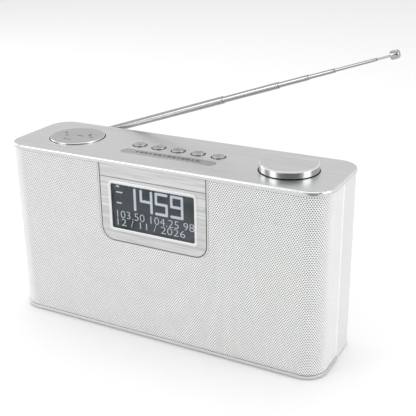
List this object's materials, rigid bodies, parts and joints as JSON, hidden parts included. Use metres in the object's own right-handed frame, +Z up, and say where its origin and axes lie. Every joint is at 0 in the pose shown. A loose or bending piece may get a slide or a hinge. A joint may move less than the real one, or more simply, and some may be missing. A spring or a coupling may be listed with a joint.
{
  "type": "tabletop radio",
  "caption": "Wide flat tabletop radio with a wrapped perforated grille, twin speakers, a front display, top controls and a folding telescopic antenna.",
  "frame": {"origin": "centre of the cabinet's rest face, on the underside of the anti-slip mat", "axes": "+X to the right seen from the front, +Y from the front to the back, +Z up; the front grille and display face -Y"},
  "size_m": [0.2891, 0.0844, 0.2255],
  "materials": {
    "rubber": "matt black rubber",
    "brushed_aluminium": "brushed along the length, clear coated",
    "polished_metal": "polished, chrome plated",
    "white_metal": "white powder coat on perforated sheet",
    "white_plastic": "fine satin moulding",
    "black_plastic": "matt moulding",
    "display_window": "clear, polished",
    "lcd_glass": "dark, polished",
    "light_guide": "frosted",
    "circuit_board": "solder mask",
    "speaker_paper": "pressed paper",
    "ferrite": "sintered, dark grey",
    "tinplate": "bright tinned sheet",
    "steel": "bright zinc"
  },
  "bodies": {
    "cabinet": {"base_mat": "rubber", "base_plate": "brushed_aluminium", "front_grille": "white_metal", "front_baffle": "white_plastic", "display_bezel": "brushed_aluminium", "display_lens": "display_window", "lcd_panel": "lcd_glass", "lcd_backlight": "light_guide", "display_board": "circuit_board", "rear_cover": "white_plastic", "top_panel": "brushed_aluminium", "control_frame": "black_plastic", "control_board": "circuit_board", "main_board": "circuit_board", "tuner_shield": "tinplate", "ribbon_cable": "white_plastic", "power_socket": "black_plastic", "phones_socket": "black_plastic", "encoder_body": "steel", "antenna_foot": "white_plastic", "rear_screw_1": "steel", "rear_screw_2": "steel", "rear_screw_3": "steel", "rear_screw_4": "steel", "speaker_left_frame": "black_plastic", "speaker_left_cone": "speaker_paper", "speaker_left_magnet": "ferrite", "speaker_right_frame": "black_plastic", "speaker_right_cone": "speaker_paper", "speaker_right_magnet": "ferrite"},
    "knob_rotor": {"encoder_rotor": "black_plastic"},
    "knob": {"tuning_knob": "brushed_aluminium", "encoder_shaft": "steel"},
    "disc_gimbal": {"nav_gimbal": "black_plastic"},
    "disc": {"nav_disc": "brushed_aluminium"},
    "snooze": {"snooze_bar": "brushed_aluminium"},
    "antenna_swivel": {"antenna_elbow": "polished_metal", "antenna_pin": "steel", "antenna_clip": "steel"},
    "mast_1": {"antenna_section_1": "polished_metal"},
    "mast_2": {"antenna_section_2": "polished_metal"},
    "mast_3": {"antenna_section_3": "polished_metal"},
    "mast_4": {"antenna_section_4": "polished_metal"},
    "mast_5": {"antenna_section_5": "polished_metal"},
    "mast_6": {"antenna_section_6": "polished_metal", "antenna_tip": "polished_metal"},
    "key_power": {"key_power": "brushed_aluminium"},
    "key_mode": {"key_mode": "brushed_aluminium"},
    "key_menu": {"key_menu": "brushed_aluminium"},
    "key_info": {"key_info": "brushed_aluminium"},
    "key_preset": {"key_preset": "brushed_aluminium"}
  },
  "joints": [
    {"name": "knob_turn", "type": "hinge", "parent": "cabinet", "child": "knob_rotor", "pos_m": [0.0927, -0.0005, 0.135], "axis": [0, 0, 1], "continuous": true},
    {"name": "knob_press", "type": "slide", "parent": "knob_rotor", "child": "knob", "axis": [0, 0, -1], "range_m": [0, 0.0005], "stiffness_N_per_m": 3000, "springref_m": -0.0004},
    {"name": "disc_tilt_side", "type": "hinge", "parent": "cabinet", "child": "disc_gimbal", "pos_m": [-0.092, 0.001, 0.1359], "axis": [1, 0, 0], "range_deg": [-1.2, 1.2], "stiffness_Nm_per_rad": 1.5},
    {"name": "disc_tilt_fore", "type": "hinge", "parent": "disc_gimbal", "child": "disc", "pos_m": [-0.092, 0.001, 0.1359], "axis": [0, 1, 0], "range_deg": [-1.2, 1.2], "stiffness_Nm_per_rad": 1.5},
    {"name": "key_power_press", "type": "slide", "parent": "cabinet", "child": "key_power", "axis": [0, 0, -1], "range_m": [0, 0.0006], "stiffness_N_per_m": 600, "springref_m": -0.0006},
    {"name": "key_mode_press", "type": "slide", "parent": "cabinet", "child": "key_mode", "axis": [0, 0, -1], "range_m": [0, 0.0006], "stiffness_N_per_m": 600, "springref_m": -0.0006},
    {"name": "key_menu_press", "type": "slide", "parent": "cabinet", "child": "key_menu", "axis": [0, 0, -1], "range_m": [0, 0.0006], "stiffness_N_per_m": 600, "springref_m": -0.0006},
    {"name": "key_info_press", "type": "slide", "parent": "cabinet", "child": "key_info", "axis": [0, 0, -1], "range_m": [0, 0.0006], "stiffness_N_per_m": 600, "springref_m": -0.0006},
    {"name": "key_preset_press", "type": "slide", "parent": "cabinet", "child": "key_preset", "axis": [0, 0, -1], "range_m": [0, 0.0006], "stiffness_N_per_m": 600, "springref_m": -0.0006},
    {"name": "snooze_press", "type": "slide", "parent": "cabinet", "child": "snooze", "axis": [0, 0, -1], "range_m": [0, 0.0006], "stiffness_N_per_m": 1000, "springref_m": -0.0006},
    {"name": "antenna_swivel", "type": "hinge", "parent": "cabinet", "child": "antenna_swivel", "pos_m": [-0.108, 0.0436, 0.1324], "axis": [0, -1, 0], "range_deg": [-19.1, 160.9]},
    {"name": "antenna_tilt", "type": "hinge", "parent": "antenna_swivel", "child": "mast_1", "pos_m": [-0.108, 0.0436, 0.1324], "axis": [-0.3272, 0, 0.9449], "range_deg": [0, 90]},
    {"name": "mast_slide_2", "type": "slide", "parent": "mast_1", "child": "mast_2", "axis": [0.9449, 0, 0.3272], "range_m": [-0.0471, 0.0589]},
    {"name": "mast_slide_3", "type": "slide", "parent": "mast_2", "child": "mast_3", "axis": [0.9449, 0, 0.3272], "range_m": [-0.0225, 0.0815]},
    {"name": "mast_slide_4", "type": "slide", "parent": "mast_3", "child": "mast_4", "axis": [0.9449, 0, 0.3272], "range_m": [-0.0191, 0.0829]},
    {"name": "mast_slide_5", "type": "slide", "parent": "mast_4", "child": "mast_5", "axis": [0.9449, 0, 0.3272], "range_m": [-0.0298, 0.0702]},
    {"name": "mast_slide_6", "type": "slide", "parent": "mast_5", "child": "mast_6", "axis": [0.9449, 0, 0.3272], "range_m": [-0.0078, 0.0902]}
  ]
}
